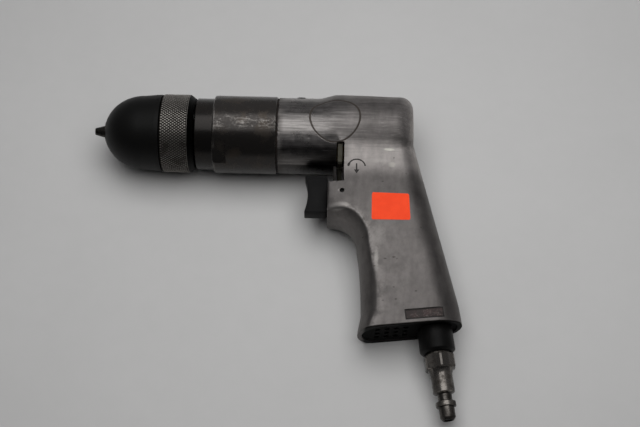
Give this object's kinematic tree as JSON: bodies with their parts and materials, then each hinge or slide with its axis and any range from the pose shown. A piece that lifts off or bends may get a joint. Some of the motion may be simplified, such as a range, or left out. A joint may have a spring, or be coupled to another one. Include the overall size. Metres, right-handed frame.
{
  "type": "air drill",
  "caption": "Pistol-grip reversible air drill with a keyless jaw chuck, planet gear case, vane motor, trigger throttle, reverse lever and a quick-connect air plug in the butt.",
  "frame": {"origin": "centre of the chuck's nose on the spindle axis", "axes": "+X along the spindle axis from the chuck's nose to the back of the motor, -Y down the grip, +Z towards the tool's left side"},
  "size_m": [0.2087, 0.1881, 0.0456],
  "materials": {
    "housing_alloy": "satin, scratched and dulled",
    "dark_steel": "blackened, worn bright in patches",
    "steel": "ground",
    "ring_steel": "knurled",
    "sleeve_black": "smooth, slightly dull",
    "trigger_black": "smooth",
    "brass": "turned",
    "rubber": "soft",
    "gasket": "aged",
    "vane": "pressed fibre",
    "felt": "felt",
    "plug_steel": "plated, worn"
  },
  "bodies": {
    "tool": {"gear_case": "dark_steel", "ring_gear": "steel", "spindle_bearing": "steel", "bearing_clip": "dark_steel", "spindle_seal": "rubber", "case_gasket": "gasket", "front_plate": "steel", "front_bearing": "steel", "motor_cylinder": "steel", "rear_plate": "steel", "rear_bearing": "steel", "housing": "housing_alloy", "throttle_bushing": "brass", "cross_pin": "dark_steel", "throttle_spring": "steel", "exhaust_cover": "dark_steel", "muffler": "felt", "inlet_bushing": "dark_steel", "inlet_screen": "brass", "air_plug": "plug_steel", "oil_plug": "dark_steel"},
    "spindle": {"spindle": "steel", "planet_pins": "steel", "chuck_body": "dark_steel", "chuck_ring": "ring_steel", "thrust_washer": "steel", "chuck_screw": "dark_steel"},
    "sleeve": {"chuck_sleeve": "sleeve_black", "chuck_nut": "steel"},
    "jaw_1": {"jaw_1": "steel"},
    "jaw_2": {"jaw_2": "steel"},
    "jaw_3": {"jaw_3": "steel"},
    "planet_1": {"planet_1": "steel"},
    "planet_2": {"planet_2": "steel"},
    "planet_3": {"planet_3": "steel"},
    "rotor": {"rotor": "steel", "vanes": "vane"},
    "reverser": {"reverse_valve": "brass", "reverse_lever": "plug_steel"},
    "trigger": {"trigger": "trigger_black", "trigger_stem": "steel", "throttle_valve": "rubber"}
  },
  "joints": [
    {"name": "spindle_spin", "type": "hinge", "parent": "tool", "child": "spindle", "pos_m": [0, 0, 0], "axis": [1, 0, 0], "continuous": true},
    {"name": "rotor_spin", "type": "hinge", "parent": "tool", "child": "rotor", "pos_m": [0, 0, 0], "axis": [1, 0, 0], "continuous": true},
    {"name": "planet_1_spin", "type": "hinge", "parent": "spindle", "child": "planet_1", "pos_m": [0.075, 0.0108, 0], "axis": [1, 0, 0], "continuous": true},
    {"name": "planet_2_spin", "type": "hinge", "parent": "spindle", "child": "planet_2", "pos_m": [0.075, -0.0054, 0.00935], "axis": [1, 0, 0], "continuous": true},
    {"name": "planet_3_spin", "type": "hinge", "parent": "spindle", "child": "planet_3", "pos_m": [0.075, -0.0054, -0.00935], "axis": [1, 0, 0], "continuous": true},
    {"name": "sleeve_turn", "type": "hinge", "parent": "spindle", "child": "sleeve", "pos_m": [0, 0, 0], "axis": [1, 0, 0], "range_deg": [0, 3968.5]},
    {"name": "jaw_1_slide", "type": "slide", "parent": "spindle", "child": "jaw_1", "axis": [0.9395, 0, 0.3424], "range_m": [0, 0.014]},
    {"name": "jaw_2_slide", "type": "slide", "parent": "spindle", "child": "jaw_2", "axis": [0.9395, -0.2966, -0.1712], "range_m": [0, 0.014]},
    {"name": "jaw_3_slide", "type": "slide", "parent": "spindle", "child": "jaw_3", "axis": [0.9395, 0.2966, -0.1712], "range_m": [0, 0.014]},
    {"name": "trigger_pull", "type": "slide", "parent": "tool", "child": "trigger", "axis": [1, 0, 0], "range_m": [0, 0.0028], "stiffness_N_per_m": 2000, "springref_m": -0.002, "deforming": ["throttle_spring"]},
    {"name": "reverse_turn", "type": "hinge", "parent": "tool", "child": "reverser", "pos_m": [0, 0, 0], "axis": [1, 0, 0], "range_deg": [0, 22]}
  ],
  "couplings": [
    {"joint": "rotor_spin", "follows": "spindle_spin", "ratio": 6},
    {"joint": "planet_1_spin", "follows": "spindle_spin", "ratio": -2.5},
    {"joint": "planet_2_spin", "follows": "spindle_spin", "ratio": -2.5},
    {"joint": "planet_3_spin", "follows": "spindle_spin", "ratio": -2.5},
    {"joint": "jaw_1_slide", "follows": "sleeve_turn", "m_per_rad": 0.00020213},
    {"joint": "jaw_2_slide", "follows": "sleeve_turn", "m_per_rad": 0.00020213},
    {"joint": "jaw_3_slide", "follows": "sleeve_turn", "m_per_rad": 0.00020213}
  ]
}
